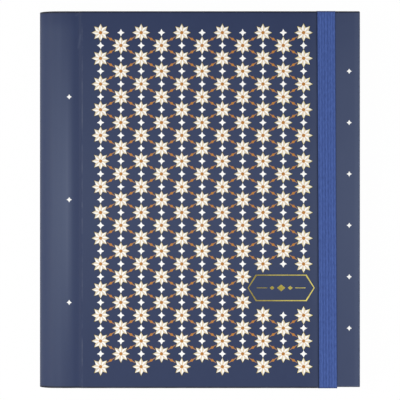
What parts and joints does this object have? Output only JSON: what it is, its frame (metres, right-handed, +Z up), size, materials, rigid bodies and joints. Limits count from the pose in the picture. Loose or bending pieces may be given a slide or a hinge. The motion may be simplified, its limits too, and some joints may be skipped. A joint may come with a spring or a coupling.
{
  "type": "address book",
  "caption": "Hard-cover address book with a rounded spine, concealed twin-loop wire binding, tabbed index sections and a ribbed elastic closing band.",
  "frame": {"origin": "middle of the underside of the closed book, on the surface it lies on", "axes": "+X from the spine to the fore edge, +Y from the tail to the head, +Z up out of the front cover"},
  "size_m": [0.1842, 0.217, 0.022],
  "materials": {
    "board": "grey binder's board",
    "cover_paper": "printed navy paper with a satin laminate",
    "endpaper": "plain uncoated cream paper",
    "stub_card": "uncoated cream card",
    "spine_card": "thin grey card",
    "lining": "kraft lining paper",
    "binding_wire": "white nylon-coated steel wire",
    "elastic": "ribbed woven elastic, royal blue",
    "leaf_paper": "ruled offset paper",
    "tab_card": "laminated index tab"
  },
  "bodies": {
    "back_cover": {"back_board": "board", "back_cover_paper": "cover_paper", "back_endpaper": "endpaper", "binding_stub": "stub_card", "twin_loop_wire": "binding_wire", "spine_cover_paper": "cover_paper", "spine_card": "spine_card", "spine_lining": "lining", "elastic_band": "elastic"},
    "front_cover": {"front_board": "board", "front_cover_paper": "cover_paper", "front_endpaper": "endpaper"},
    "section_ab": {"leaves_ab": "leaf_paper", "tab_ab": "tab_card"},
    "section_cd": {"leaves_cd": "leaf_paper", "tab_cd": "tab_card"},
    "section_ef": {"leaves_ef": "leaf_paper", "tab_ef": "tab_card"},
    "section_gh": {"leaves_gh": "leaf_paper", "tab_gh": "tab_card"},
    "section_ij": {"leaves_ij": "leaf_paper", "tab_ij": "tab_card"},
    "section_kl": {"leaves_kl": "leaf_paper", "tab_kl": "tab_card"},
    "section_mn": {"leaves_mn": "leaf_paper", "tab_mn": "tab_card"},
    "section_op": {"leaves_op": "leaf_paper", "tab_op": "tab_card"},
    "section_qr": {"leaves_qr": "leaf_paper", "tab_qr": "tab_card"},
    "section_st": {"leaves_st": "leaf_paper", "tab_st": "tab_card"},
    "section_uv": {"leaves_uv": "leaf_paper", "tab_uv": "tab_card"},
    "section_wx": {"leaves_wx": "leaf_paper", "tab_wx": "tab_card"},
    "section_yz": {"leaves_yz": "leaf_paper", "tab_yz": "tab_card"}
  },
  "joints": [
    {"name": "front_cover_hinge", "type": "hinge", "parent": "back_cover", "child": "front_cover", "pos_m": [-0.0817, 0, 0.01079], "axis": [0, -1, 0], "range_deg": [0, 180], "deforming": ["spine_cover_paper", "spine_card", "spine_lining", "elastic_band"]},
    {"name": "section_ab_hinge", "type": "hinge", "parent": "back_cover", "child": "section_ab", "pos_m": [-0.0817, 0, 0.01079], "axis": [0, -1, 0], "range_deg": [0, 180]},
    {"name": "section_cd_hinge", "type": "hinge", "parent": "back_cover", "child": "section_cd", "pos_m": [-0.0817, 0, 0.01079], "axis": [0, -1, 0], "range_deg": [0, 180]},
    {"name": "section_ef_hinge", "type": "hinge", "parent": "back_cover", "child": "section_ef", "pos_m": [-0.0817, 0, 0.01079], "axis": [0, -1, 0], "range_deg": [0, 180]},
    {"name": "section_gh_hinge", "type": "hinge", "parent": "back_cover", "child": "section_gh", "pos_m": [-0.0817, 0, 0.01079], "axis": [0, -1, 0], "range_deg": [0, 180]},
    {"name": "section_ij_hinge", "type": "hinge", "parent": "back_cover", "child": "section_ij", "pos_m": [-0.0817, 0, 0.01079], "axis": [0, -1, 0], "range_deg": [0, 180]},
    {"name": "section_kl_hinge", "type": "hinge", "parent": "back_cover", "child": "section_kl", "pos_m": [-0.0817, 0, 0.01079], "axis": [0, -1, 0], "range_deg": [0, 180]},
    {"name": "section_mn_hinge", "type": "hinge", "parent": "back_cover", "child": "section_mn", "pos_m": [-0.0817, 0, 0.01079], "axis": [0, -1, 0], "range_deg": [0, 180]},
    {"name": "section_op_hinge", "type": "hinge", "parent": "back_cover", "child": "section_op", "pos_m": [-0.0817, 0, 0.01079], "axis": [0, -1, 0], "range_deg": [0, 180]},
    {"name": "section_qr_hinge", "type": "hinge", "parent": "back_cover", "child": "section_qr", "pos_m": [-0.0817, 0, 0.01079], "axis": [0, -1, 0], "range_deg": [0, 180]},
    {"name": "section_st_hinge", "type": "hinge", "parent": "back_cover", "child": "section_st", "pos_m": [-0.0817, 0, 0.01079], "axis": [0, -1, 0], "range_deg": [0, 180]},
    {"name": "section_uv_hinge", "type": "hinge", "parent": "back_cover", "child": "section_uv", "pos_m": [-0.0817, 0, 0.01079], "axis": [0, -1, 0], "range_deg": [0, 180]},
    {"name": "section_wx_hinge", "type": "hinge", "parent": "back_cover", "child": "section_wx", "pos_m": [-0.0817, 0, 0.01079], "axis": [0, -1, 0], "range_deg": [0, 180]},
    {"name": "section_yz_hinge", "type": "hinge", "parent": "back_cover", "child": "section_yz", "pos_m": [-0.0817, 0, 0.01079], "axis": [0, -1, 0], "range_deg": [0, 180]}
  ],
  "couplings": [
    {"joint": "section_ab_hinge", "follows": "front_cover_hinge", "ratio": 0.9985},
    {"joint": "section_cd_hinge", "follows": "front_cover_hinge", "ratio": 0.997},
    {"joint": "section_ef_hinge", "follows": "front_cover_hinge", "ratio": 0.9955},
    {"joint": "section_gh_hinge", "follows": "front_cover_hinge", "ratio": 0.994},
    {"joint": "section_ij_hinge", "follows": "front_cover_hinge", "ratio": 0.9925},
    {"joint": "section_kl_hinge", "follows": "front_cover_hinge", "ratio": 0.991},
    {"joint": "section_mn_hinge", "follows": "front_cover_hinge", "ratio": 0.9895},
    {"joint": "section_op_hinge", "follows": "front_cover_hinge", "ratio": 0.988},
    {"joint": "section_qr_hinge", "follows": "front_cover_hinge", "ratio": 0.9865},
    {"joint": "section_st_hinge", "follows": "front_cover_hinge", "ratio": 0.985},
    {"joint": "section_uv_hinge", "follows": "front_cover_hinge", "ratio": 0.9835},
    {"joint": "section_wx_hinge", "follows": "front_cover_hinge", "ratio": 0.982},
    {"joint": "section_yz_hinge", "follows": "front_cover_hinge", "ratio": 0.9805}
  ]
}
